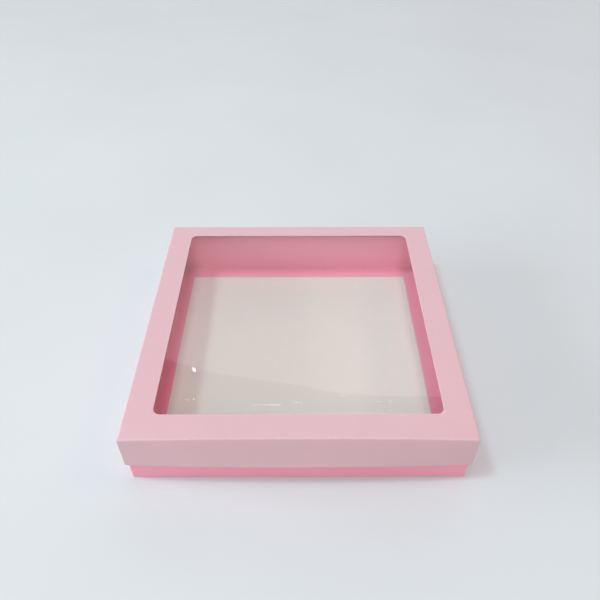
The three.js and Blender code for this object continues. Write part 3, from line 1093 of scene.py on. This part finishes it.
def add_stage():
    settings = bpy.context.scene.giftbox_stage
    bm = bmesh.new()
    rectangle(bm, -TABLE_HALF, -TABLE_HALF, TABLE_HALF, TABLE_HALF, -TABLE_DROP)
    mesh = bpy.data.meshes.new("table_top")
    bm.to_mesh(mesh)
    bm.free()
    mesh.materials.append(table_material())
    table = bpy.data.objects.new("table_top", mesh)
    bpy.context.scene.collection.objects.link(table)

    for name, (place, size, setting, tint) in SOFT_LIGHTS.items():
        light = add_light(name, place, (0, 0, LID_TOP), size, getattr(settings, setting), tint)
        light.visible_glossy = False
    across, height = PANEL_MIDDLE
    place, aim = (across, PANEL_Y, height), (across, 0, height)
    panel = add_light("Back panel", place, aim, PANEL_SIZE, settings.back_power, NEUTRAL)
    panel.data.shape = "ELLIPSE"
    for number, (across, height, width, tall, tilt, glare) in enumerate(FAR_LAMPS):
        place, aim = (across, PANEL_Y, height), (across, 0, height)
        power = settings.far_power * glare * width * tall
        add_light(f"Far lamp {number}", place, aim, (width, tall), power, NEUTRAL, math.radians(tilt))

    bpy.context.scene.world = surround(settings.surround)
    bpy.context.scene.view_settings.view_transform = "Standard"
    add_camera()


class GIFTBOX_OT_tray_floor(bpy.types.Operator):
    """Makes the tray's floor"""

    bl_idname = "giftbox.tray_floor"
    bl_label = "Tray floor"

    def execute(self, context):
        tray_floor()
        return {"FINISHED"}


class GIFTBOX_OT_tray_walls(bpy.types.Operator):
    """Makes the tray's four double walls"""

    bl_idname = "giftbox.tray_walls"
    bl_label = "Tray walls"

    def execute(self, context):
        for side in SIDES:
            tray_wall(side)
        return {"FINISHED"}


class GIFTBOX_OT_tray_flanges(bpy.types.Operator):
    """Makes the four flanges that lie on the tray's floor"""

    bl_idname = "giftbox.tray_flanges"
    bl_label = "Tray flanges"

    def execute(self, context):
        for side in SIDES:
            tray_flange(side)
        return {"FINISHED"}


class GIFTBOX_OT_glue_tabs(bpy.types.Operator):
    """Makes the glue tabs of the tray and the lid"""

    bl_idname = "giftbox.glue_tabs"
    bl_label = "Glue tabs"

    def execute(self, context):
        for side in ("front", "back"):
            for hand in ("left", "right"):
                tray_tab(side, hand)
                lid_tab(side, hand)
        return {"FINISHED"}


class GIFTBOX_OT_lid_top(bpy.types.Operator):
    """Makes the lid's top with its window"""

    bl_idname = "giftbox.lid_top"
    bl_label = "Lid top"

    def execute(self, context):
        lid_top()
        return {"FINISHED"}


class GIFTBOX_OT_lid_walls(bpy.types.Operator):
    """Makes the lid's four double walls"""

    bl_idname = "giftbox.lid_walls"
    bl_label = "Lid walls"

    def execute(self, context):
        for side in SIDES:
            lid_wall(side)
        return {"FINISHED"}


class GIFTBOX_OT_film(bpy.types.Operator):
    """Makes the film and the tape that holds it"""

    bl_idname = "giftbox.film"
    bl_label = "Film and tape"

    def execute(self, context):
        window_film()
        for side in SIDES:
            film_tape(side)
        return {"FINISHED"}


class GIFTBOX_OT_stage(bpy.types.Operator):
    """Makes the table, the lights and the camera"""

    bl_idname = "giftbox.stage"
    bl_label = "Stage"

    def execute(self, context):
        add_stage()
        return {"FINISHED"}


OPERATORS = (
    GIFTBOX_OT_tray_floor,
    GIFTBOX_OT_tray_walls,
    GIFTBOX_OT_tray_flanges,
    GIFTBOX_OT_glue_tabs,
    GIFTBOX_OT_lid_top,
    GIFTBOX_OT_lid_walls,
    GIFTBOX_OT_film,
    GIFTBOX_OT_stage,
)


class GIFTBOX_PT_panel(bpy.types.Panel):
    """Lists the box's sizes, its colours, and what makes each group of its pieces"""

    bl_idname = "GIFTBOX_PT_panel"
    bl_label = "Gift Box"
    bl_space_type = "VIEW_3D"
    bl_region_type = "UI"
    bl_category = "Gift Box"

    def draw(self, context):
        layout = self.layout
        for name in GROUPS:
            group = getattr(context.scene, name)
            section = layout.box()
            for key in group.__annotations__:
                section.prop(group, key)
        for operator in OPERATORS:
            layout.operator(operator.bl_idname)


GROUPS = {
    "giftbox_sizes": GIFTBOX_PG_sizes,
    "giftbox_colours": GIFTBOX_PG_colours,
    "giftbox_stage": GIFTBOX_PG_stage,
}


def register():
    for kind in (*GROUPS.values(), *OPERATORS, GIFTBOX_PT_panel):
        bpy.utils.register_class(kind)
    for name, kind in GROUPS.items():
        setattr(bpy.types.Scene, name, bpy.props.PointerProperty(type=kind))


def unregister():
    for name in GROUPS:
        delattr(bpy.types.Scene, name)
    for kind in reversed((*GROUPS.values(), *OPERATORS, GIFTBOX_PT_panel)):
        bpy.utils.unregister_class(kind)


def main():
    register()
    bpy.ops.giftbox.tray_floor()
    bpy.ops.giftbox.tray_walls()
    bpy.ops.giftbox.tray_flanges()
    bpy.ops.giftbox.glue_tabs()
    bpy.ops.giftbox.lid_top()
    bpy.ops.giftbox.lid_walls()
    bpy.ops.giftbox.film()
    bpy.ops.giftbox.stage()


if __name__ == "__main__":
    main()
